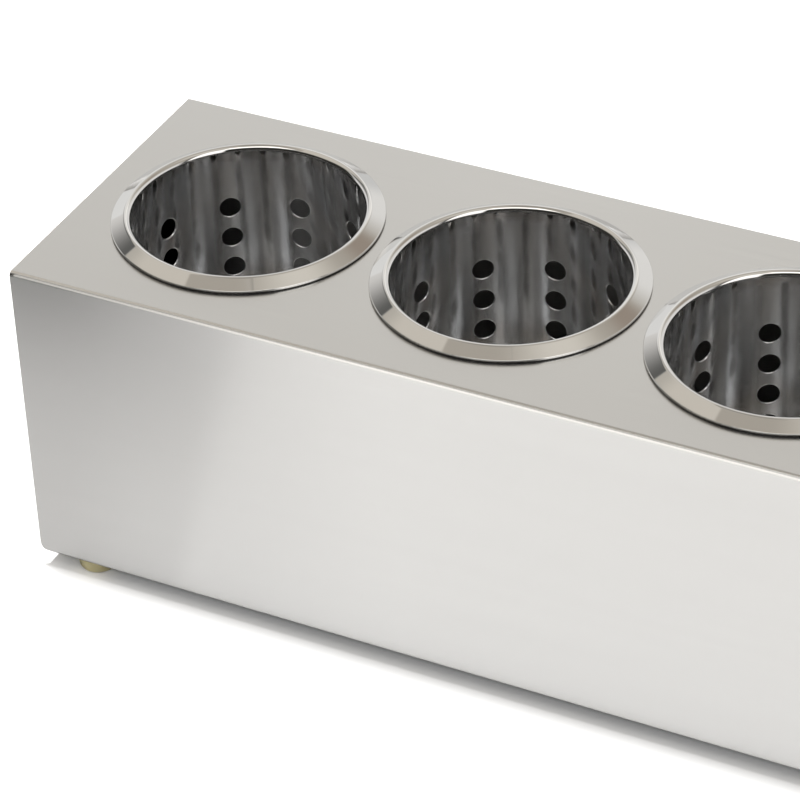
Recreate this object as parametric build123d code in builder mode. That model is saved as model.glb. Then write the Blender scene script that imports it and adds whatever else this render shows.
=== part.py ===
from build123d import *
import math
import os

# Cutlery holder: a folded steel housing on four screwed rubber feet, with a row of loose perforated cups.
# Millimetres. X runs along the row of cups, the front panel faces -Y and the feet stand on Z = 0.

os.makedirs("parts", exist_ok=True)

# Row of cups
cup_count = 4
cup_pitch = 120.0
end_margin = 70.0  # end of the housing to the axis of the nearest cup

# Housing, one folded sheet
housing_depth = 150.0
housing_height = 143.0  # lower bends to the deck
housing_sheet = 1.0
bend_inside_radius = 1.0
free_corner_radius = 5.0  # lower corners of the panels at both open ends
deck_hole_clearance = 0.9  # round each cup wall
return_margin = 3.5  # foot to the free edge of the return

# Cup wall and rim, one formed sheet
bore_diameter = 97.0
cup_sheet = 0.8
cup_height = 137.0  # underside of the base to the crest of the rim
flange_diameter = 114.0
flange_slope = 27.5  # degrees, falling outwards from the crest
crest_inside_radius = 1.4
lip_height = 1.35  # turned-down edge of the flange, from the deck to the outer end of the sloping face

# Perforation of the wall
hole_diameter = 9.2
hole_columns = 10
hole_row_pitch = 15.0
first_row_drop = 29.2  # crest to the centres of the top row
last_row_land = 9.0  # least height of steel between the bottom row and the base skirt
cup_turns = (21.7, 21.7, 12.7)  # degrees from +X to the first column, cup after cup

# Cup base, a pressed pan welded into the wall
base_sheet = 0.8
base_skirt = 6.0
base_corner_radius = 2.5
base_clearance = 0.05  # radial, where the skirt is welded in
drain_hole_diameter = 9.2
drain_ring_pitch = 16.0
drain_edge_land = 5.0  # least steel between a drain hole and the pan's corner

# Foot, a tapered rubber bumper
foot_diameter = 18.0
foot_height = 7.0
foot_taper = 0.8  # radius lost from the top of the foot to the floor
foot_edge_radius = 2.0
foot_set_back = 1.5  # panel to the edge of the foot
foot_end_gap = 13.0  # end of the housing to the edge of the foot

# Fastening of a foot
screw_diameter = 4.0
screw_clearance = 0.15  # radial, in the foot, the washer and the housing
head_diameter = 7.2
head_height = 2.2
head_edge_radius = 0.9
head_floor_gap = 0.6  # the head stays clear of the floor
drive_length = 3.8
drive_width = 0.9
drive_depth = 1.2
washer_diameter = 8.6
washer_thickness = 0.8
washer_clearance = 0.2  # radial, in the recess of the foot
nut_across_flats = 7.0
nut_thickness = 3.2
nut_corner_chamfer = 0.35
thread_clearance = 0.05  # radial, between the plain screw and the plain nut
thread_stick_out = 1.6
thread_point_chamfer = 0.5

# Sizes that follow for the housing
housing_length = 2 * end_margin + (cup_count - 1) * cup_pitch
housing_bottom = foot_height
deck_level = housing_bottom + housing_height
bend_outside_radius = bend_inside_radius + housing_sheet
return_width = foot_set_back + foot_diameter + return_margin

# Sizes that follow for the cups
bore_radius = bore_diameter / 2
wall_radius = bore_radius + cup_sheet
flange_radius = flange_diameter / 2
crest_radius = crest_inside_radius + cup_sheet
deck_hole_radius = wall_radius + deck_hole_clearance
slope = math.radians(flange_slope)
sloped_sheet = cup_sheet / math.cos(slope)
crest_centre_height = (
    lip_height + (flange_radius - bore_radius - crest_radius) * math.tan(slope) - crest_radius / math.cos(slope)
)
crest_level = deck_level + crest_centre_height + crest_radius
cup_bottom = crest_level - cup_height
cup_places = [(number - (cup_count - 1) / 2) * cup_pitch for number in range(cup_count)]

# Sizes that follow for the rows of holes
last_row_height = base_skirt + last_row_land + hole_diameter / 2
hole_rows = int((cup_height - first_row_drop - last_row_height) / hole_row_pitch) + 1
row_levels = [crest_level - first_row_drop - row * hole_row_pitch for row in range(hole_rows)]
base_radius = bore_radius - base_clearance
drain_reach = base_radius - base_corner_radius - drain_edge_land - drain_hole_diameter / 2
drain_rings = int(drain_reach / drain_ring_pitch)

# Sizes that follow for the feet
foot_radius = foot_diameter / 2
foot_span_x = housing_length - 2 * (foot_end_gap + foot_radius)
foot_span_y = housing_depth - 2 * (foot_set_back + foot_radius)
screw_hole_radius = screw_diameter / 2 + screw_clearance
recess_radius = washer_diameter / 2 + washer_clearance
head_seat = head_floor_gap + head_height
recess_depth = head_seat + washer_thickness
return_level = housing_bottom + housing_sheet
foot_places = {
    "front_left": (-foot_span_x / 2, -foot_span_y / 2),
    "front_right": (foot_span_x / 2, -foot_span_y / 2),
    "rear_left": (-foot_span_x / 2, foot_span_y / 2),
    "rear_right": (foot_span_x / 2, foot_span_y / 2),
}


def cone_height(radius):
    """Height above the deck of the flange's top face, carried on past the crest as a straight cone."""
    return lip_height + (flange_radius - radius) * math.tan(slope)


# Housing: deck, two panels and two inward returns, open at both ends
half_depth = housing_depth / 2
inner_half_depth = half_depth - housing_sheet
return_edge = half_depth - return_width
with BuildPart() as housing:
    with BuildSketch(Plane.YZ.offset(-housing_length / 2)):
        with BuildLine():
            outside = FilletPolyline(
                (-return_edge, housing_bottom),
                (-half_depth, housing_bottom),
                (-half_depth, deck_level),
                (half_depth, deck_level),
                (half_depth, housing_bottom),
                (return_edge, housing_bottom),
                radius=bend_outside_radius,
            )
            inside = FilletPolyline(
                (-return_edge, return_level),
                (-inner_half_depth, return_level),
                (-inner_half_depth, deck_level - housing_sheet),
                (inner_half_depth, deck_level - housing_sheet),
                (inner_half_depth, return_level),
                (return_edge, return_level),
                radius=bend_inside_radius,
            )
            Line(outside @ 0, inside @ 0)
            Line(outside @ 1, inside @ 1)
        make_face()
    extrude(amount=housing_length)
    with Locations(*[(x, 0, deck_level) for x in cup_places]):
        Hole(deck_hole_radius, depth=2 * housing_sheet)
    with Locations((0, 0, return_level)):
        with GridLocations(foot_span_x, foot_span_y, 2, 2):
            Hole(screw_hole_radius, depth=2 * housing_sheet)
    # Free corners, rounded through both panels at each end
    for end in (-1, 1):
        with BuildSketch(Plane.XZ):
            corner_x = end * (housing_length / 2 - free_corner_radius / 2)
            with Locations((corner_x, housing_bottom + free_corner_radius / 2)):
                Rectangle(free_corner_radius, free_corner_radius)
            centre_x = end * (housing_length / 2 - free_corner_radius)
            with Locations((centre_x, housing_bottom + free_corner_radius)):
                Circle(free_corner_radius, mode=Mode.SUBTRACT)
        extrude(amount=half_depth, both=True, mode=Mode.SUBTRACT)
housing.part.label = "housing"
export_step(housing.part, "parts/housing.step")

# Cup wall, on the Z axis: a perforated tube that turns over into a sloping flange
past_lip = flange_radius + cup_sheet
with BuildPart() as cup_wall:
    with BuildSketch(Plane.XZ):
        with BuildLine():
            top_face = FilletPolyline(
                (bore_radius, cup_bottom),
                (bore_radius, deck_level + cone_height(bore_radius)),
                (past_lip, deck_level + cone_height(past_lip)),
                radius=crest_radius,
            )
            under_face = FilletPolyline(
                (wall_radius, cup_bottom),
                (wall_radius, deck_level + cone_height(wall_radius) - sloped_sheet),
                (past_lip, deck_level + cone_height(past_lip) - sloped_sheet),
                radius=crest_inside_radius,
            )
            Line(top_face @ 0, under_face @ 0)
            Line(top_face @ 1, under_face @ 1)
        make_face()
        # The flange's edge turns down into a lip that stands flat on the deck
        with Locations((flange_radius, deck_level)):
            Rectangle(cup_sheet, lip_height, align=(Align.MAX, Align.MIN))
            Rectangle(cup_height, cup_height, align=(Align.MIN, Align.CENTER), mode=Mode.SUBTRACT)
        with Locations((deck_hole_radius, deck_level)):
            Rectangle(cup_height, cup_height, align=(Align.MIN, Align.MAX), mode=Mode.SUBTRACT)
    revolve(axis=Axis.Z)
    with Locations(*[(0, 0, level) for level in row_levels]):
        with PolarLocations(0, hole_columns):
            Cylinder(
                hole_diameter / 2,
                wall_radius + cup_sheet,
                rotation=(0, 90, 0),
                align=(Align.CENTER, Align.CENTER, Align.MIN),
                mode=Mode.SUBTRACT,
            )

# Cup base, on the Z axis: a shallow pan whose skirt stands inside the lower end of the wall
with BuildPart() as cup_base:
    with BuildSketch(Plane.XZ):
        with BuildLine():
            pan_outside = FilletPolyline(
                (0, cup_bottom),
                (base_radius, cup_bottom),
                (base_radius, cup_bottom + base_skirt),
                radius=base_corner_radius,
            )
            pan_inside = FilletPolyline(
                (0, cup_bottom + base_sheet),
                (base_radius - base_sheet, cup_bottom + base_sheet),
                (base_radius - base_sheet, cup_bottom + base_skirt),
                radius=base_corner_radius - base_sheet,
            )
            Line(pan_outside @ 0, pan_inside @ 0)
            Line(pan_outside @ 1, pan_inside @ 1)
        make_face()
    revolve(axis=Axis.Z)
    with Locations((0, 0, cup_bottom + base_sheet)):
        Hole(drain_hole_diameter / 2, depth=2 * base_sheet)
        for ring in range(1, drain_rings + 1):
            with PolarLocations(ring * drain_ring_pitch, 6 * ring):
                Hole(drain_hole_diameter / 2, depth=2 * base_sheet)

# Foot, on the Z axis: a tapered bumper with a recess for the washer and the screw's head
with BuildPart() as foot:
    with BuildSketch(Plane.XZ):
        with BuildLine():
            Polyline(
                (0, 0),
                (foot_radius - foot_taper, 0),
                (foot_radius, foot_height),
                (0, foot_height),
                close=True,
            )
        make_face()
        floor_corner = vertices().group_by(Axis.Y)[0].sort_by(Axis.X)[-1]
        fillet(floor_corner, radius=foot_edge_radius)
    revolve(axis=Axis.Z)
    with Locations((0, 0, recess_depth)):
        Hole(recess_radius, depth=recess_depth)
    with Locations((0, 0, foot_height)):
        Hole(screw_hole_radius, depth=foot_height)

# Washer, on the Z axis, against the roof of the recess
with BuildPart() as foot_washer:
    with BuildSketch(Plane.XY.offset(head_seat)):
        Circle(washer_diameter / 2)
        Circle(screw_hole_radius, mode=Mode.SUBTRACT)
    extrude(amount=washer_thickness)

# Screw, on the Z axis, its cross-driven head down in the recess
with BuildPart() as foot_screw:
    with BuildSketch(Plane.XY.offset(head_floor_gap)):
        Circle(head_diameter / 2)
    extrude(amount=head_height)
    fillet(edges().group_by(Axis.Z)[0], radius=head_edge_radius)
    with BuildSketch(Plane.XY.offset(head_seat)):
        Circle(screw_diameter / 2)
    extrude(amount=return_level + nut_thickness + thread_stick_out - head_seat)
    chamfer(edges().group_by(Axis.Z)[-1], length=thread_point_chamfer)
    with BuildSketch(Plane.XY.offset(head_floor_gap)):
        Rectangle(drive_length, drive_width)
        Rectangle(drive_width, drive_length)
    extrude(amount=drive_depth, mode=Mode.SUBTRACT)

# Nut, on the Z axis, on top of the housing's return
nut_corner_radius = nut_across_flats / math.sqrt(3)
with BuildPart() as foot_nut:
    with BuildSketch(Plane.XY.offset(return_level)):
        RegularPolygon(nut_corner_radius, 6)
        Circle(screw_diameter / 2 + thread_clearance, mode=Mode.SUBTRACT)
    extrude(amount=nut_thickness)
    with BuildSketch(Plane.XZ):
        with BuildLine():
            Polyline(
                (0, return_level),
                (nut_corner_radius - nut_corner_chamfer, return_level),
                (nut_corner_radius, return_level + nut_corner_chamfer),
                (nut_corner_radius, return_level + nut_thickness - nut_corner_chamfer),
                (nut_corner_radius - nut_corner_chamfer, return_level + nut_thickness),
                (0, return_level + nut_thickness),
                close=True,
            )
        make_face()
    revolve(axis=Axis.Z, mode=Mode.INTERSECT)

# Each cup in its hole of the deck, turned as it happens to stand
for number, cup_x in enumerate(cup_places, start=1):
    turn = cup_turns[(number - 1) % len(cup_turns)]
    for piece_name, piece in (("wall", cup_wall), ("base", cup_base)):
        with BuildPart() as placed:
            with Locations((cup_x, 0, 0)):
                add(piece.part, rotation=(0, 0, turn))
        placed.part.label = f"cup_{number}_{piece_name}"
        export_step(placed.part, f"parts/cup_{number}_{piece_name}.step")

# Each foot under its corner of the housing, with its washer, screw and nut
foot_pieces = {"foot": foot, "foot_washer": foot_washer, "foot_screw": foot_screw, "foot_nut": foot_nut}
for corner, foot_place in foot_places.items():
    for piece_name, piece in foot_pieces.items():
        with BuildPart() as placed:
            with Locations(foot_place):
                add(piece.part)
        placed.part.label = f"{piece_name}_{corner}"
        export_step(placed.part, f"parts/{piece_name}_{corner}.step")
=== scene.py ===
import math

import bpy
import numpy as np
from mathutils import Matrix, Vector


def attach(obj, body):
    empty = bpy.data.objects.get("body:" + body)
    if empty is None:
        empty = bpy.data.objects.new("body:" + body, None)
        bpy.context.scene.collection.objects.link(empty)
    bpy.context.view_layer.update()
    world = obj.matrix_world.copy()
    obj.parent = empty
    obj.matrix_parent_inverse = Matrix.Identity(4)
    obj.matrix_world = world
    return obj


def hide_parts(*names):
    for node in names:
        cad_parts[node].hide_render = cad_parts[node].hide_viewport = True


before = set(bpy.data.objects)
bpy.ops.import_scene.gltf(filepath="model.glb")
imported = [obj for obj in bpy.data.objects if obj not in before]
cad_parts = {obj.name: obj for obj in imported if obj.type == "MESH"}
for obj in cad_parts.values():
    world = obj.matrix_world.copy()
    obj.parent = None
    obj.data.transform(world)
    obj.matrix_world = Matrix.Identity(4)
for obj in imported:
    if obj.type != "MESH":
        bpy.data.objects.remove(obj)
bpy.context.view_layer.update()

# Cutlery holder: the looks of a folded steel housing on rubber bumpers and of its perforated cups.
# Metres. X runs along the row of cups, the front panel faces -Y and the bumpers stand on Z = 0.

MM = 0.001

# Housing
HALF_LENGTH = 250 * MM
HALF_DEPTH = 75 * MM
HOUSING_BOTTOM = 7 * MM
DECK = 150 * MM
SHEET = 1 * MM
BEND = 2 * MM  # outside radius of the folds
CORNER = 5 * MM  # radius of the panels' free lower corners
RETURN = 23 * MM  # width of the folds under the panels
DECK_HOLE = 50.2 * MM
GRID_STEP = 5 * MM  # along X
PLATE_STEPS = 24  # grid steps along each side of the deck's plate round one hole
RETURN_STEPS = 5  # grid steps along each side of a return's plate round one screw hole
FOLD_STEPS = 8

# Feet
FOOT_X, FOOT_Y = 228 * MM, 64.5 * MM
FOOT_TOP, FOOT_FLOOR = 9 * MM, 8.2 * MM  # radius where it meets the return and where it would meet the floor
FOOT_EDGE = 2 * MM  # radius of the rounded edge at the floor
RECESS, RECESS_CEILING = 4.5 * MM, 3.6 * MM
SCREW_HOLE = 2.15 * MM

# Cups
CUP_PLACES = (-180 * MM, -60 * MM, 60 * MM, 180 * MM)
CUP_TURNS = (21.7, 21.7, 12.7, 21.7)  # degrees from +X to the first column of holes
BORE = 48.5 * MM
CUP_SHEET = 0.8 * MM
CUP_OUTSIDE = BORE + CUP_SHEET
FLANGE = 57 * MM
SLOPE = math.radians(27.5)
CREST_RADIUS = 2.2 * MM
LIP_HEIGHT = 1.35 * MM  # turned-down edge, deck to the outer end of the sloping face
CREST = (DECK + LIP_HEIGHT + (FLANGE - BORE - CREST_RADIUS) * math.tan(SLOPE)
         + CREST_RADIUS * (1 - 1 / math.cos(SLOPE)))
CUP_BOTTOM = CREST - 137 * MM
HOLE = 4.6 * MM
HOLE_EDGE = 0.42 * MM  # radius of the rounded edges of a hole
COLUMNS, ROWS = 10, 6
HALF_CELL = math.pi / COLUMNS  # half the angle of a hole's cell
ROW_PITCH = 15 * MM
TOP_ROW = CREST - 29.2 * MM
CELL_STEPS = 12  # grid steps along each side of a hole's cell

WELD = 2e-7  # points that fall in one cube of this size are one point
WELD_SHIFT = 0.37  # keeps round sizes off the sides of those cubes


def rounded_outline(corners, steps):
    """Points and normals of a polyline (across, up, radius). Each corner with a radius becomes an arc, in
    steps, that touches both of its runs; a corner without one is a sharp point that ends one run and starts
    the next. A normal is the run's direction turned a quarter to the right, and turns evenly along an arc."""
    place = np.array([c[:2] for c in corners], float)
    run = np.diff(place, axis=0)
    run /= np.linalg.norm(run, axis=1)[:, None]
    side = np.stack([run[:, 1], -run[:, 0]], 1)
    points, normals = [place[:1]], [side[:1]]
    for k in range(1, len(corners) - 1):
        radius = corners[k][2]
        before, after = run[k - 1], run[k]
        turn = math.atan2(before[0] * after[1] - before[1] * after[0], before @ after)
        if radius == 0:
            points.append(place[[k, k]])
            normals.append(side[[k - 1, k]])
            continue
        start = place[k] - radius * math.tan(abs(turn) / 2) * before
        hand = math.copysign(1, turn)
        angle = np.linspace(0, turn, steps + 1)[:, None]
        forward = np.array([-side[k - 1][1], side[k - 1][0]])
        normal = np.cos(angle) * side[k - 1] + np.sin(angle) * forward
        points.append(start - hand * radius * side[k - 1] + hand * radius * normal)
        normals.append(normal)
    points.append(place[-1:])
    normals.append(side[-1:])
    return np.concatenate(points), np.concatenate(normals)


def turned(outline, centre, steps, first=0.0):
    """An outline of (radius, height) carried once round the upright axis at centre, in equal steps from the
    angle first: x = radius * cos(angle), y = radius * sin(angle)."""
    points, normals = outline
    angle = first + np.linspace(0, 2 * math.pi, steps + 1)
    around = np.stack([np.cos(angle), np.sin(angle)], 1)

    def swept(pairs):
        upright = np.broadcast_to(pairs[:, None, 1:], (len(pairs), steps + 1, 1))
        return np.concatenate([pairs[:, None, :1] * around, upright], 2)

    return swept(points) + (*centre, 0), swept(normals)


def cell_edge(steps):
    """One walk round the square from -1 to 1, anticlockwise from its lower right corner, in steps a side."""
    count = np.arange(4 * steps + 1)
    side, share = count // steps % 4, (count % steps) / steps * 2 - 1
    one = np.ones_like(share)
    return np.choose(side, [one, -share, -one, share]), np.choose(side, [share, one, -share, -one])


def perforated_wall(centre_x, first):
    """All the holes of a cup with the wall round them. Each hole has a cell of the wall, 36 degrees wide and
    one row pitch high. A cell's grid runs from the cell's edge on the outer face in to the hole, through the
    hole over two small rounded edges, and out to the cell's edge on the inner face. On a face, a grid line
    blends the hole's circle, bent onto the cylinder, into the cell's rectangle."""
    across, up = cell_edge(CELL_STEPS)
    spin = np.arctan2(up, across)
    face = np.array([1.0, 0.62, 0.34, 0.14, 0.0])
    quarter = math.pi / 2
    bend = np.linspace(0, quarter, 4)
    edge = HOLE_EDGE
    # a grid line's gap to the hole, its radius on the cup, the angle from the outer face's normal towards the
    # hole's middle, and its share of the cell's rectangle
    rows = [(edge, CUP_OUTSIDE, 0.0, s) for s in face[:-1]]
    rows += [(edge * (1 - math.sin(b)), CUP_OUTSIDE - edge * (1 - math.cos(b)), b, 0.0) for b in bend]
    rows += [(edge * (1 - math.cos(b)), BORE + edge * (1 - math.sin(b)), quarter + b, 0.0) for b in bend]
    rows += [(edge, BORE, math.pi, s) for s in face[::-1][1:]]
    gap, radius, tilt, blend = (np.array(v)[:, None] for v in zip(*rows))
    hole_across, hole_up = (HOLE + gap) * np.cos(spin), (HOLE + gap) * np.sin(spin)
    turn = (1 - blend) * np.arcsin(hole_across / radius) + blend * HALF_CELL * across
    rise = (1 - blend) * hole_up + blend * ROW_PITCH / 2 * up
    column = first + 2 * HALF_CELL * np.arange(COLUMNS)[:, None, None, None]
    level = TOP_ROW - ROW_PITCH * np.arange(ROWS)[None, :, None, None]
    angle = column + turn + 0 * level
    height = level + rise + 0 * column
    place = np.stack([centre_x + radius * np.cos(angle), radius * np.sin(angle), height], -1)
    out_face = np.stack([np.cos(angle), np.sin(angle), 0 * angle], -1)
    hole_axis = column + 0 * angle
    to_hole = np.stack([
        np.cos(spin) * np.sin(hole_axis),
        -np.cos(spin) * np.cos(hole_axis),
        0 * angle - np.sin(spin),
    ], -1)
    normal = out_face * np.cos(tilt)[..., None] + to_hole * np.sin(tilt)[..., None]
    return place, normal


def cup_shell(centre_x, turn):
    """Grids of one cup's formed wall: the perforated zone, the turned rim above it and the plain hem below
    it. The rim's sloping face falls from the crest by tan(slope) times the radius gained, the face under it
    lies one sheet lower, and the lip turns down to the deck."""
    first = math.radians(turn)
    zone_top, zone_bottom = TOP_ROW + ROW_PITCH / 2, TOP_ROW - ROW_PITCH * (ROWS - 0.5)
    drop = CUP_SHEET / math.cos(SLOPE)
    sloping = lambda radius: DECK + LIP_HEIGHT + (FLANGE - radius) * math.tan(SLOPE)
    behind_lip = FLANGE - CUP_SHEET
    rim = rounded_outline([
        (CUP_OUTSIDE, zone_top, 0),
        (CUP_OUTSIDE, sloping(CUP_OUTSIDE) - drop, CREST_RADIUS - CUP_SHEET),
        (behind_lip, sloping(behind_lip) - drop, 0.2 * MM),
        (behind_lip, DECK, 0.1 * MM),
        (FLANGE, DECK, 0.3 * MM),
        (FLANGE, DECK + LIP_HEIGHT, 0.45 * MM),
        (BORE, sloping(BORE), CREST_RADIUS),
        (BORE, zone_top, 0),
    ], steps=8)
    hem = rounded_outline([
        (BORE, zone_bottom, 0),
        (BORE, CUP_BOTTOM, 0.15 * MM),
        (CUP_OUTSIDE, CUP_BOTTOM, 0.15 * MM),
        (CUP_OUTSIDE, zone_bottom, 0),
    ], steps=3)
    centre, round_steps = (centre_x, 0), COLUMNS * CELL_STEPS
    return [
        turned(rim, centre, round_steps, first - HALF_CELL),
        perforated_wall(centre_x, first),
        turned(hem, centre, round_steps, first - HALF_CELL),
    ]


def bumper(centre_x, centre_y):
    """Grid of one rubber foot, turned from its section: screw hole, recess, rounded floor edge, tapered side
    and flat top."""
    section = rounded_outline([
        (SCREW_HOLE, HOUSING_BOTTOM, 0),
        (SCREW_HOLE, RECESS_CEILING, 0.15 * MM),
        (RECESS, RECESS_CEILING, 0.2 * MM),
        (RECESS, 0, 0.35 * MM),
        (FOOT_FLOOR, 0, FOOT_EDGE),
        (FOOT_TOP, HOUSING_BOTTOM, 0.25 * MM),
        (SCREW_HOLE, HOUSING_BOTTOM, 0),
    ], steps=8)
    return [turned(section, (centre_x, centre_y), 64)]


def piece(name, grids, body, finish, replaced, axis=None):
    """One closed mesh from grids of (points, normals). Points that meet are merged, faces look along the
    normals, a corner shared by two points of a face makes it a triangle, and each face corner keeps its
    grid's normal, so a fold is smooth and a cut edge is sharp. With axis, the attribute cup_place holds each
    point's place as counted from there."""
    points, normals, quads, total = [], [], [], 0
    for point, normal in grids:
        rows, columns = point.shape[-3:-1]
        index = total + np.arange(point[..., 0].size).reshape(-1, rows, columns)
        loop = [index[:, :-1, :-1], index[:, :-1, 1:], index[:, 1:, 1:], index[:, 1:, :-1]]
        quad = np.stack(loop, -1).reshape(-1, 4)
        normal = np.broadcast_to(normal, point.shape).reshape(-1, 3)
        point = point.reshape(-1, 3)
        corner = point[quad - total]
        facing = np.cross(corner[:, 2] - corner[:, 0], corner[:, 3] - corner[:, 1])
        if (facing * normal[quad[:, 0] - total]).sum() < 0:
            quad = quad[:, ::-1]
        points.append(point)
        normals.append(normal)
        quads.append(quad)
        total += len(point)
    points, normals, quads = (np.concatenate(v) for v in (points, normals, quads))
    cubes = np.floor(points / WELD + WELD_SHIFT)
    _, first, merged = np.unique(cubes, axis=0, return_index=True, return_inverse=True)
    face = merged.ravel()[quads]
    shared = face == np.roll(face, -1, axis=1)
    whole, pinched = shared.sum(1) == 0, shared.sum(1) == 1
    kept = ~shared[pinched]
    faces = face[whole].tolist() + face[pinched][kept].reshape(-1, 3).tolist()
    corner_normals = np.concatenate([normals[quads[whole].ravel()], normals[quads[pinched][kept]]])
    corner_normals /= np.linalg.norm(corner_normals, axis=1)[:, None]
    mesh = bpy.data.meshes.new(name)
    mesh.from_pydata(points[first].tolist(), [], faces)
    mesh.polygons.foreach_set("use_smooth", np.ones(len(mesh.polygons), bool))
    mesh.normals_split_custom_set(corner_normals.tolist())
    if axis is not None:
        place = mesh.attributes.new("cup_place", "FLOAT_VECTOR", "POINT")
        place.data.foreach_set("vector", (points[first] - axis).astype(np.float32).ravel())
    mesh.materials.append(finish)
    part = bpy.data.objects.new(name, mesh)
    bpy.context.scene.collection.objects.link(part)
    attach(part, body)
    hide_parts(*replaced)
    return part


def corner_drop(height):
    """How far a height lies below the middle of the panels' rounded free corners, nought above it."""
    return np.clip(HOUSING_BOTTOM + CORNER - height, 0, CORNER)


def panel_end(height):
    """How far a panel reaches along X at a height: its free lower corner is a quarter circle."""
    return HALF_LENGTH - CORNER + np.sqrt(CORNER**2 - corner_drop(height)**2)


def plate_hole(centre, radius, xs, ys, low, high):
    """Grids of a flat plate with a round hole: each point of the rectangle's edge is joined to the point of
    the circle in its direction, on the upper and the lower face, and the circle's wall joins the faces."""
    walk = [(x, ys[0]) for x in xs[:-1]] + [(xs[-1], y) for y in ys[:-1]]
    walk += [(x, ys[-1]) for x in xs[:0:-1]] + [(xs[0], y) for y in ys[::-1]]
    edge = np.array(walk)
    out = edge - centre
    out /= np.linalg.norm(out, axis=1)[:, None]
    ring = np.array(centre) + radius * out
    level = lambda flat, z: np.concatenate([flat, np.full((len(flat), 1), z)], 1)
    wall = np.concatenate([-out, np.zeros((len(out), 1))], 1)
    return [
        (np.stack([level(edge, high), level(ring, high)]), np.array([0.0, 0.0, 1.0])),
        (np.stack([level(edge, low), level(ring, low)]), np.array([0.0, 0.0, -1.0])),
        (np.stack([level(ring, high), level(ring, low)]), np.stack([wall, wall])),
    ]


def carried(outline, ends):
    """An outline of (y, z) carried along X. A column's end is one X, or a function of the points' heights."""
    points, normals = outline
    columns = [end(points[:, 1]) if callable(end) else end for end in ends]
    xs = np.stack([np.broadcast_to(column, len(points)) for column in columns], 1)

    def spread(x, pairs):
        y, z = (np.broadcast_to(pairs[:, k:k + 1], xs.shape) for k in (0, 1))
        return np.stack([x, y, z], -1)

    return spread(xs, points), spread(0 * xs, normals)


def folded_housing():
    """Grids of the folded sheet. Its section is one outline with rounded folds, walked outside from the rear
    return over the deck to the front return, and inside one sheet further in. It is carried along X; the
    deck's four plates and the returns' four corners have holes and are plates of their own."""
    deck_ys = np.linspace(HALF_DEPTH - BEND, BEND - HALF_DEPTH, PLATE_STEPS + 1)
    return_ys = np.linspace(HALF_DEPTH - RETURN, HALF_DEPTH - BEND, RETURN_STEPS + 1)
    # grid lines of a panel between its folds, close together where the free corner is round
    heights = HOUSING_BOTTOM + np.array([2.4, 2.9, 3.5, 4.2, 5.0, 12.0, 40.0, 90.0]) * MM

    def section(inset):
        """Outline of the section, inset into the sheet, with the same number of points for any inset, and
        the numbers of the points between which the deck lies."""
        y, low, high = HALF_DEPTH - inset, HOUSING_BOTTOM + inset, DECK - inset
        radius = BEND - inset

        def fold(centre_y, centre_z, start, end):
            turns = np.radians(np.linspace(start, end, FOLD_STEPS + 1))
            ways = [(math.cos(a), math.sin(a)) for a in turns]
            return [((centre_y + radius * way[0], centre_z + radius * way[1]), way) for way in ways]

        walk = [((v, low), (0, -1)) for v in return_ys[:-1]]
        walk += fold(HALF_DEPTH - BEND, HOUSING_BOTTOM + BEND, -90, 0)
        walk += [((y, z), (1, 0)) for z in heights]
        walk += fold(HALF_DEPTH - BEND, DECK - BEND, 0, 90)
        start_of_deck = len(walk) - 1
        walk += [((v, high), (0, 1)) for v in deck_ys[1:-1]]
        end_of_deck = len(walk)
        walk += fold(BEND - HALF_DEPTH, DECK - BEND, 90, 180)
        walk += [((-y, z), (-1, 0)) for z in heights[::-1]]
        walk += fold(BEND - HALF_DEPTH, HOUSING_BOTTOM + BEND, 180, 270)
        walk += [((-v, low), (0, -1)) for v in return_ys[::-1][1:]]
        points, normals = (np.array(v, float) for v in zip(*walk))
        return points, normals, start_of_deck, end_of_deck

    outside, out_normal, deck_start, deck_end = section(0.0)
    inside, in_normal, _, _ = section(SHEET)
    plate_end = HALF_LENGTH - 2 * GRID_STEP
    xs = np.linspace(-plate_end, plate_end, round(2 * plate_end / GRID_STEP) + 1)
    last = len(outside)
    panels = (slice(RETURN_STEPS, deck_start + 1), slice(deck_end, last - RETURN_STEPS))
    returns = (slice(0, RETURN_STEPS + 1), slice(last - RETURN_STEPS - 1, None))
    grids = []
    for points, normals in ((outside, out_normal), (inside, -in_normal)):
        for hand in (-1, 1):
            ends = [hand * plate_end, lambda z, hand=hand: hand * panel_end(z)]
            grids.append(carried((points, normals), ends))
        for part in panels:
            grids.append(carried((points[part], normals[part]), xs))
        for part in returns:
            grids.append(carried((points[part], normals[part]), xs[RETURN_STEPS:-RETURN_STEPS]))
    # cut edges: both ends, and the free edges of the two returns
    both = np.stack([outside, inside], 1)
    below = corner_drop(both[..., 1])
    free_edge = np.stack([outside[0], inside[0]])
    for hand in (-1, 1):
        x = hand * panel_end(both[..., 1])
        normal = np.stack([hand * np.sqrt(1 - (below / CORNER) ** 2), 0 * x, -below / CORNER], -1)
        grids.append((np.stack([x, both[..., 0], both[..., 1]], -1), normal))
        outline = (free_edge * (hand, 1), np.array([[-hand, 0.0]] * 2))
        grids.append(carried(outline, [lambda z: -panel_end(z), *xs, panel_end]))
    # the deck's plates and the returns' corners
    for number, centre_x in enumerate(CUP_PLACES):
        first = PLATE_STEPS * number
        plate_xs = xs[first:first + PLATE_STEPS + 1]
        grids += plate_hole((centre_x, 0.0), DECK_HOLE, plate_xs, deck_ys[::-1], DECK - SHEET, DECK)
    levels = (HOUSING_BOTTOM, HOUSING_BOTTOM + SHEET)
    for hand in (-1, 1):
        for end, corner_xs in ((-1, xs[:RETURN_STEPS + 1]), (1, xs[-RETURN_STEPS - 1:])):
            centre, corner_ys = (end * FOOT_X, hand * FOOT_Y), np.sort(hand * return_ys)
            grids += plate_hole(centre, SCREW_HOLE, corner_xs, corner_ys, *levels)
    return grids


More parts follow.
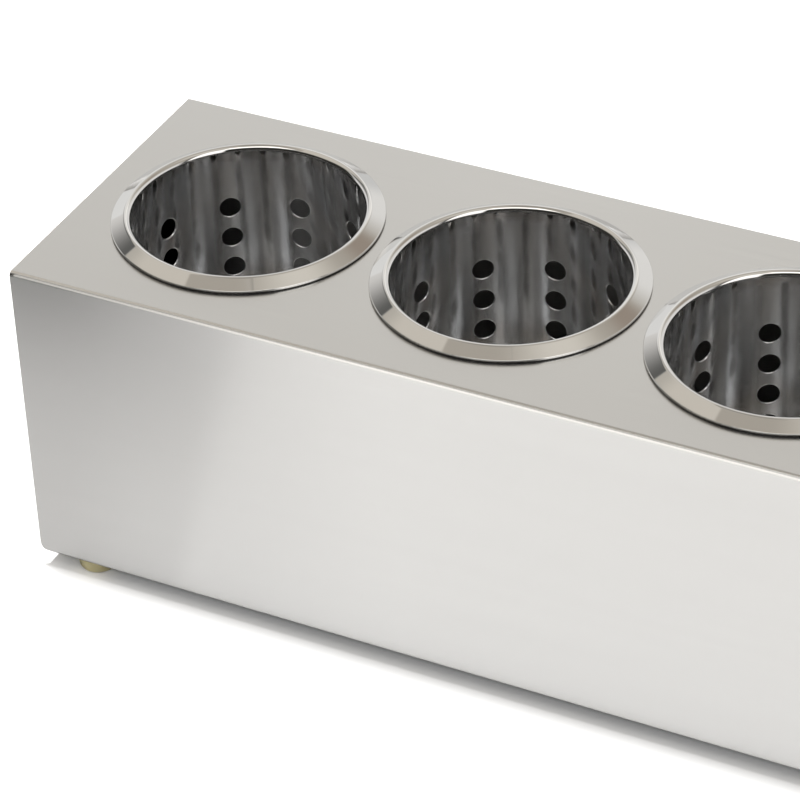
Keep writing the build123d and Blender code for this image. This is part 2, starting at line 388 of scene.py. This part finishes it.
class Signal:
    """A value in a finish's node tree. Arithmetic on signals and numbers adds Math nodes."""

    def __init__(self, finish, socket):
        self.finish, self.socket = finish, socket

    def math(self, operation, *values):
        return self.finish.node("ShaderNodeMath", {"operation": operation}, dict(enumerate(values)))

    def __add__(self, other):
        return self.math("ADD", self, other)

    def __sub__(self, other):
        return self.math("SUBTRACT", self, other)

    def __rsub__(self, other):
        return self.math("SUBTRACT", other, self)

    def __mul__(self, other):
        return self.math("MULTIPLY", self, other)

    def __truediv__(self, other):
        return self.math("DIVIDE", self, other)

    def __rtruediv__(self, other):
        return self.math("DIVIDE", other, self)

    def __pow__(self, other):
        return self.math("POWER", self, other)

    __radd__, __rmul__ = __add__, __mul__

    def rise(self, low, high):
        """0 below low, 1 above high and smooth between; falls instead where low is above high."""
        sockets = {"Value": self, "From Min": low, "From Max": high}
        return self.finish.node("ShaderNodeMapRange", {"interpolation_type": "SMOOTHSTEP"}, sockets)

    def scaled(self, by):
        """A colour times a number."""
        return self.finish.node("ShaderNodeVectorMath", {"operation": "SCALE"}, {0: self, 3: by})

    def blend(self, first, second):
        """Colour between first at 0 and second at 1."""
        sockets = {0: self, 6: first, 7: second}
        return self.finish.node("ShaderNodeMix", {"data_type": "RGBA"}, sockets, 2)


class Finish:
    """A node material, or the world: node() adds any node, and surface() sets the Principled shader."""

    def __init__(self, name, owner=None):
        self.owner = owner or bpy.data.materials.new(name)
        self.owner.use_nodes = True
        self.tree = self.owner.node_tree
        self.tree.nodes.clear()

    def node(self, kind, settings=None, sockets=None, outlet=0):
        made = self.tree.nodes.new(kind)
        for key, value in (settings or {}).items():
            if key == "stops":
                ramp = made.color_ramp
                while len(ramp.elements) < len(value):
                    ramp.elements.new(1.0)
                for element, (at, colour) in zip(ramp.elements, value):
                    element.position, element.color = at, (*colour, 1.0)
            else:
                setattr(made, key, value)
        for key, value in (sockets or {}).items():
            if isinstance(value, Signal):
                self.tree.links.new(value.socket, made.inputs[key])
            else:
                made.inputs[key].default_value = value
        return Signal(self, made.outputs[outlet])

    def object_place(self):
        return self.node("ShaderNodeTexCoord", None, None, "Object")

    def split(self, vector):
        """The X, Y and Z of a vector."""
        outlets = self.node("ShaderNodeSeparateXYZ", None, {0: vector}).socket.node.outputs
        return [Signal(self, outlet) for outlet in outlets]

    def noise(self, vector, scale, detail, roughness, stretch=(1, 1, 1)):
        """Soft random values. A larger stretch along an axis makes them change faster along it."""
        stretched = self.node("ShaderNodeVectorMath", {"operation": "MULTIPLY"}, {0: vector, 1: stretch})
        sockets = {"Vector": stretched, "Scale": scale, "Detail": detail, "Roughness": roughness}
        return self.node("ShaderNodeTexNoise", None, sockets)

    def bump(self, strength, distance, height):
        """Normals of a surface raised by distance times height."""
        sockets = {"Strength": strength, "Distance": distance, "Height": height}
        return self.node("ShaderNodeBump", None, sockets, "Normal")

    def surface(self, **sockets):
        named = {key.replace("_", " "): value for key, value in sockets.items()}
        shader = self.node("ShaderNodeBsdfPrincipled", None, named)
        self.node_out("ShaderNodeOutputMaterial", shader)
        return self.owner

    def glow(self, colour):
        """A surface that only gives light."""
        return self.surface(
            Base_Color=(0, 0, 0, 1), Roughness=1.0, Specular_IOR_Level=0.0,
            Emission_Color=colour, Emission_Strength=1.0)

    def node_out(self, kind, shader):
        made = self.tree.nodes.new(kind)
        self.tree.links.new(shader.socket, made.inputs["Surface"])


def grey(level, warmth=0.0):
    """A neutral linear colour, a little yellow for a positive warmth."""
    return (level * (1 + warmth), level, level * (1 - 1.6 * warmth), 1.0)


def brushed_housing_steel():
    """Sheet steel with a fine grain along X: long thin streaks in its colour and soft clouds in its colour
    and roughness. Its inner face is the dull mill face of the sheet."""
    finish = Finish("brushed_housing_steel")
    place = finish.object_place()
    grain = finish.noise(place, 1.0, 1.0, 0.5, (9, 1100, 1100))
    streak = finish.noise(place, 1.0, 2.0, 0.5, (4, 260, 260))
    cloud = finish.noise(place, 11.0, 3.0, 0.55)
    tone = grain * 0.45 + streak * 0.20 + cloud * 0.35
    brushed = tone.rise(0.25, 0.75).blend(grey(0.688, 0.010), grey(0.714, 0.010))
    _, y, z = finish.split(place)
    skin, core = 0.3 * MM, 0.7 * MM  # depths in the sheet between which one face's look ends
    within = (y * y).rise((HALF_DEPTH - skin) ** 2, (HALF_DEPTH - core) ** 2)
    within = within * z.rise(DECK - skin, DECK - core)
    inner = within * z.rise(HOUSING_BOTTOM + skin, HOUSING_BOTTOM + core)
    return finish.surface(
        Base_Color=inner.blend(brushed, grey(0.42)), Metallic=1.0,
        Roughness=0.225 + 0.045 * cloud + 0.15 * inner, Anisotropic=0.75, Anisotropic_Rotation=0.25)


def polished_cup_steel():
    """A mirror rim over a bore that was spun smooth, so its reflections smear upright, and a satin outside.
    The attribute cup_place counts from the cup's axis and from the crest of its rim."""
    finish = Finish("polished_cup_steel")
    place = finish.node("ShaderNodeAttribute", {"attribute_name": "cup_place"}, None, "Vector")
    x, y, z = finish.split(place)
    radius = (x * x + y * y) ** 0.5
    bore_skin, outer_skin = BORE + 0.3 * MM, BORE + 0.55 * MM
    in_bore = radius.rise(outer_skin, bore_skin) * z.rise(-2.5 * MM, -8.5 * MM)
    outside = radius.rise(bore_skin, outer_skin) * z.rise(-4.5 * MM, -5.5 * MM)
    broad = finish.noise(place, 1.0, 2.0, 0.5, (70, 70, 3))
    fine = finish.noise(place, 1.0, 2.0, 0.5, (280, 280, 8))
    worn = finish.noise(place, 60.0, 3.0, 0.6)
    streak = broad * 0.75 + fine * 0.25
    bore_colour = streak.rise(0.3, 0.7).blend(grey(0.84, -0.005), grey(0.92, -0.005))
    # painted shade: the bore turns browner and darker low down, near its bottom
    bore_colour = z.rise(-122 * MM, -130 * MM).blend(bore_colour, (0.40, 0.32, 0.25, 1))
    # painted highlight: brighter where a hole's edge rounds away from the bore
    painted_hole_highlight = radius.rise(BORE + 0.04 * MM, BORE + 0.12 * MM)
    bore_colour = painted_hole_highlight.blend(bore_colour, grey(0.94))
    # painted shade: the lip's lower edge, where it meets the deck, is near black as a painted contact shadow
    deck = DECK - CREST
    painted_contact_shadow = radius.rise(FLANGE - 0.45 * MM, FLANGE - 0.2 * MM) * z.rise(deck + 0.75 * MM, deck + 0.6 * MM)
    rim_colour = painted_contact_shadow.blend(grey(0.74, 0.012), grey(0.05))
    roughness = 0.035 + 0.015 * worn + in_bore * (0.06 + 0.05 * fine) + outside * (0.25 + 0.1 * worn)
    waves = in_bore * ((broad - 0.5) * 0.5 + (fine - 0.5) * 0.06)
    return finish.surface(
        Base_Color=in_bore.blend(rim_colour, bore_colour), Metallic=1.0, Roughness=roughness,
        Anisotropic=0.7, Anisotropic_Rotation=0.25, Normal=finish.bump(0.2, 0.4 * MM, waves))


def satin_base_steel():
    """Pressed sheet, dull, with fine random scratches."""
    finish = Finish("satin_base_steel")
    place = finish.object_place()
    scratch = finish.noise(place, 1.0, 3.0, 0.6, (60, 700, 300))
    cloud = finish.noise(place, 40.0, 2.0, 0.5)
    tone = scratch * 0.6 + cloud * 0.4
    colour = tone.rise(0.3, 0.7).blend(grey(0.64, -0.005), grey(0.74, -0.005))
    return finish.surface(
        Base_Color=colour, Metallic=1.0, Roughness=0.08 + 0.10 * cloud,
        Normal=finish.bump(0.1, 0.05 * MM, scratch))


def olive_rubber():
    """Soft olive rubber, slightly clear at its edges, with a faint moulded grain."""
    finish = Finish("olive_rubber")
    place = finish.object_place()
    grain = finish.noise(place, 900.0, 2.0, 0.5)
    cloud = finish.noise(place, 180.0, 2.0, 0.5)
    colour = cloud.rise(0.25, 0.75).blend((0.27, 0.235, 0.125, 1), (0.36, 0.32, 0.18, 1))
    return finish.surface(
        Base_Color=colour, Roughness=0.38 + 0.1 * grain, Subsurface_Weight=0.35, Subsurface_Scale=1.0,
        Subsurface_Radius=(4 * MM, 3 * MM, 1.5 * MM), Normal=finish.bump(0.15, 0.05 * MM, grain))


def plated_fastener_steel():
    """Zinc-plated steel with a faint mottle."""
    finish = Finish("plated_fastener_steel")
    mottle = finish.noise(finish.object_place(), 1400.0, 3.0, 0.6)
    colour = mottle.rise(0.3, 0.7).blend((0.46, 0.47, 0.48, 1), (0.60, 0.61, 0.62, 1))
    return finish.surface(Base_Color=colour, Metallic=1.0, Roughness=0.26 + 0.18 * mottle)


def pale_floor():
    """Plain matt floor."""
    finish = Finish("pale_floor")
    return finish.surface(Base_Color=(0.86, 0.86, 0.86, 1), Roughness=0.9, Specular_IOR_Level=0.1)


def end_flag_black():
    """Black on the side that faces the object and clear from behind."""
    finish = Finish("end_flag_black")
    behind = finish.node("ShaderNodeNewGeometry", None, None, "Backfacing")
    return finish.surface(
        Base_Color=(0.01, 0.01, 0.01, 1), Roughness=1.0, Specular_IOR_Level=0.0, Alpha=1 - behind)


def end_veil_grey():
    """An even dim glow, which the inside of the open end mirrors."""
    return Finish("end_veil_grey").glow((0.05, 0.05, 0.049, 1))


def fold_card_cream():
    """A glow that fades towards the left end."""
    finish = Finish("fold_card_cream")
    x, _, _ = finish.split(finish.object_place())
    brightness = x.rise(-HALF_LENGTH, -80 * MM)
    return finish.glow(brightness.blend((0.78, 0.77, 0.73, 1), (1.42, 1.39, 1.33, 1)))


def table_veil_grey():
    """A grey veil on the table that only the steel mirrors. In front, along and up are the place on the panel
    where a point of the table shows, as far aside and up as the photograph's line of sight runs for each
    metre in front of the panel. The panel's darkness grows to the left, and most in its upper left corner."""
    finish = Finish("table_veil_grey")
    x, y, _ = finish.split(finish.object_place())
    aside, climb = 0.538, 0.81
    along = x - aside * (y + HALF_DEPTH)
    up = (y + HALF_DEPTH) * -climb
    front = y.rise(-0.070, -0.076)
    top = up.rise(0.03, 0.15)
    # a slanting edge and a slow fall to the left, both stronger near the top, and the lower left end
    slant = (along - 0.18 * up).rise(-0.178, -0.192)
    left = 0.45 * slant + 0.55 * along.rise(-0.07, -0.20)
    shade = left * (0.20 + 0.22 * top) + 0.12 * along.rise(-0.185, -0.25) * (1 - top)
    # the upper left corner, in a wide and a narrow patch
    wide = along.rise(-0.14, -0.25) * up.rise(0.132, 0.152)
    narrow = along.rise(-0.20, -0.25) * up.rise(0.134, 0.150)
    corner = wide * 0.45 + narrow * 0.40

    def within(place, limit):
        """1 between minus and plus limit, with sides half a millimetre soft."""
        soft = limit - 0.5 * MM
        return place.rise(-limit, -soft) * place.rise(limit, soft)

    # under the object the veil hides nearly all of the pale table
    under = within(y, HALF_DEPTH - 1.5 * MM) * within(x, HALF_LENGTH - 0.5 * MM)
    clear = 0.62 * (1 - front * 0.04 * top) * (1 - front * shade) * (1 - front * corner)
    clear = clear * (1 - 0.9 * under)
    return finish.surface(
        Base_Color=(0.02, 0.02, 0.02, 1), Roughness=1.0, Specular_IOR_Level=0.0, Alpha=1 - clear)


def card(name, low, high, finish):
    """A flat rectangle of the studio. It runs from the corner low along the first axis on which high differs,
    then along the second, and back."""
    first, second = (k for k in range(3) if low[k] != high[k])
    corners = [list(low) for _ in range(4)]
    corners[1][first] = corners[2][first] = high[first]
    corners[2][second] = corners[3][second] = high[second]
    mesh = bpy.data.meshes.new(name)
    mesh.from_pydata(corners, [], [(0, 1, 2, 3)])
    mesh.materials.append(finish)
    shown = bpy.data.objects.new(name, mesh)
    bpy.context.scene.collection.objects.link(shown)
    return shown


def mirrored_only(shown):
    """Hide a card from everything except glossy reflections."""
    for ray in ("camera", "diffuse", "transmission", "shadow", "volume_scatter"):
        setattr(shown, f"visible_{ray}", False)


def lamp(name, place, width, height, power):
    """A rectangular lamp aimed at the origin. It lights dull surfaces and leaves no glint in the steel."""
    light = bpy.data.lights.new(name, "AREA")
    light.shape, light.size, light.size_y, light.energy = "RECTANGLE", width, height, power
    shown = bpy.data.objects.new(name, light)
    shown.location = place
    shown.rotation_euler = (-Vector(place)).to_track_quat("-Z", "Y").to_euler()
    shown.visible_glossy = False
    bpy.context.scene.collection.objects.link(shown)


def studio_sky():
    """What the steel mirrors: a light tent that dims to a warm ceiling, with the room's dark gaps and soft
    boxes. Bearings are degrees from +X towards +Y; heights are the sine of the angle above the table."""
    world = bpy.data.worlds.new("studio_sky")
    bpy.context.scene.world = world
    sky = Finish("studio_sky", world)
    x, y, height = sky.split(sky.node("ShaderNodeTexCoord", None, None, "Generated"))
    bearing = y.math("ARCTAN2", y, x) * math.degrees(1)

    def patch(left, right, low, high, soft, fade):
        """1 between two bearings and between two heights. The sides are soft over soft degrees and fade of
        height, to each side of these limits."""
        across = bearing.rise(left - soft, left + soft) * bearing.rise(right + soft, right - soft)
        return across * height.rise(low - fade, low + fade) * height.rise(high + fade, high - fade)

    # the rear of the tent, which the deck mirrors: it dims upwards and to the left
    tent = [
        (0.0, (0.92, 0.92, 0.91)),
        (0.40, (0.96, 0.96, 0.95)),
        (0.50, (1.42, 1.40, 1.36)),
        (0.61, (0.735, 0.71, 0.66)),
        (0.78, (0.55, 0.52, 0.47)),
        (1.0, (0.49, 0.46, 0.41)),
    ]
    colour = sky.node("ShaderNodeValToRGB", {"stops": tent}, {0: height}, "Color")
    left = bearing.rise(106, 127) * bearing.rise(172, 132)
    low_right = bearing.rise(113, 109) * height.rise(0.55, 0.50)
    colour = colour.scaled(1 - left * (0.10 + 0.21 * height.rise(0.40, 0.50)) - 0.26 * low_right)
    # the right of the tent, up to a warm ceiling, with a brown patch
    right = height.rise(0.38, 0.66).blend((0.885, 0.875, 0.855, 1), (0.48, 0.445, 0.39, 1))
    colour = bearing.rise(102, 94).blend(colour, right)
    colour = patch(50, 80, 0.60, 0.76, 6, 0.06).blend(colour, (0.37, 0.315, 0.265, 1))
    # the dark room in front, under two soft boxes
    colour = patch(-178, 2, -1, 0.80, 6, 0.04).blend(colour, (0.035, 0.034, 0.032, 1))
    colour = patch(-130, -30, 0.82, 0.97, 4, 0.015).blend(colour, (2.0, 1.96, 1.88, 1))
    colour = patch(-40, -5, 0.2, 0.90, 3, 0.03).blend(colour, (1.5, 1.48, 1.44, 1))
    # flat overhead, where x / z and y / z draw straight lines: a lamp's glow, and a panel on the left
    above = height + 0.0001
    across, along = x / above, y / above
    from_glow = ((across - 0.24) ** 2 + (along - 0.22) ** 2) ** 0.5
    glow = from_glow.rise(0.45, 0.03) * height.rise(0.50, 0.60)
    colour = glow.blend(colour, (0.77, 0.73, 0.66, 1))
    panel_colour = height.rise(0.60, 0.72).blend((0.56, 0.53, 0.475, 1), (0.70, 0.655, 0.585, 1))
    panel = across.rise(-0.445, -0.475) * along.rise(-0.9, -0.7) * along.rise(0.95, 0.75)
    colour = (panel * height.rise(0.58, 0.59)).blend(colour, panel_colour)
    # a dark band on the left, which the flanges mirror
    band = height.rise(0.22, 0.58).blend((0.78, 0.765, 0.745, 1), (0.13, 0.13, 0.125, 1))
    colour = patch(138, 178, 0.24, 0.585, 2, 0.008).blend(colour, band)
    background = sky.node("ShaderNodeBackground", None, {"Color": colour, "Strength": 1.0})
    sky.node_out("ShaderNodeOutputWorld", background)


def studio():
    """Pale table, sky, two lamps that light the table, and cards that steer what the steel mirrors: a black
    flag and a dim veil outside the left end, a strip in front of the front fold and a veil on the table."""
    reach = 6  # half the table's side
    card("table", (-reach, -reach, 0), (reach, reach, 0), pale_floor())
    studio_sky()
    lamp("overhead_lamp", (-0.45, 0.03, 3.0), 0.3, 0.24, 120)
    lamp("front_lamp", (0.5, -2.4, 1.9), 1.6, 1.4, 42)
    flag_x, veil_x, strip_y, veil_z = -0.2515, -0.2517, -0.078, 0.002
    card("end_flag", (flag_x, 0.012, 0.012), (flag_x, 0.073, 0.13), end_flag_black())
    veil = card("end_veil", (veil_x, -0.071, 0.008), (veil_x, 0.073, 0.14), end_veil_grey())
    strip_ends = (-HALF_LENGTH, strip_y, 0.1484), (HALF_LENGTH, strip_y, 0.1535)
    strip = card("fold_card", *strip_ends, fold_card_cream())
    cover = card("table_veil", (-reach, -reach, veil_z), (reach, reach, veil_z), table_veil_grey())
    for shown in (veil, strip, cover):
        mirrored_only(shown)


def photograph_camera():
    """A long lens from the front right and above, rolled a little, as in the photograph."""
    turn, rise, roll = (math.radians(a) for a in (28.2941, 35.5260, -2.6223))
    place = (0.488277, -1.116715, 0.982154)
    sensor, frame_width, focal_length = 36, 800, 3729.583  # mm, and the other two in pixels
    back = Vector((math.sin(turn) * math.cos(rise), -math.cos(turn) * math.cos(rise), math.sin(rise)))
    right = Vector((math.cos(turn), math.sin(turn), 0))
    up = back.cross(right)
    side = math.cos(roll) * right + math.sin(roll) * up
    head = -math.sin(roll) * right + math.cos(roll) * up
    data = bpy.data.cameras.new("camera")
    data.sensor_width, data.lens = sensor, focal_length * sensor / frame_width
    data.clip_start, data.clip_end = 0.05, 50
    camera = bpy.data.objects.new("camera", data)
    camera.matrix_world = Matrix.Translation(place) @ Matrix((side, head, back)).transposed().to_4x4()
    bpy.context.scene.collection.objects.link(camera)
    bpy.context.scene.camera = camera


photograph_camera()
studio()
scene = bpy.context.scene
scene.view_settings.view_transform = "Standard"
scene.cycles.max_bounces = 16
scene.cycles.glossy_bounces = 12
scene.cycles.caustics_reflective = False
scene.cycles.sample_clamp_indirect = 6.0

housing_finish = brushed_housing_steel()
cup_finish = polished_cup_steel()
base_finish = satin_base_steel()
rubber_finish = olive_rubber()
fastener_finish = plated_fastener_steel()

housing = piece("folded_housing", folded_housing(), "holder", housing_finish, ["housing"])
# The texture space lies far off to one side, so that the grain's direction is X all over the sheet
housing.data.use_auto_texspace = False
housing.data.texspace_location = (0, 50, 0)
housing.data.texspace_size = (1, 1, 1)

for number, (centre_x, turn) in enumerate(zip(CUP_PLACES, CUP_TURNS), start=1):
    piece(f"cup_{number}_shell", cup_shell(centre_x, turn), f"cup_{number}", cup_finish,
          [f"cup_{number}_wall"], axis=(centre_x, 0, CREST))
    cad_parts[f"cup_{number}_base"].data.materials[0] = base_finish

for corner in ("front_left", "front_right", "rear_left", "rear_right"):
    x = -FOOT_X if "left" in corner else FOOT_X
    y = -FOOT_Y if "front" in corner else FOOT_Y
    piece(f"bumper_{corner}", bumper(x, y), "holder", rubber_finish, [f"foot_{corner}"])
    for kind in ("washer", "screw", "nut"):
        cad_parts[f"foot_{kind}_{corner}"].data.materials[0] = fastener_finish
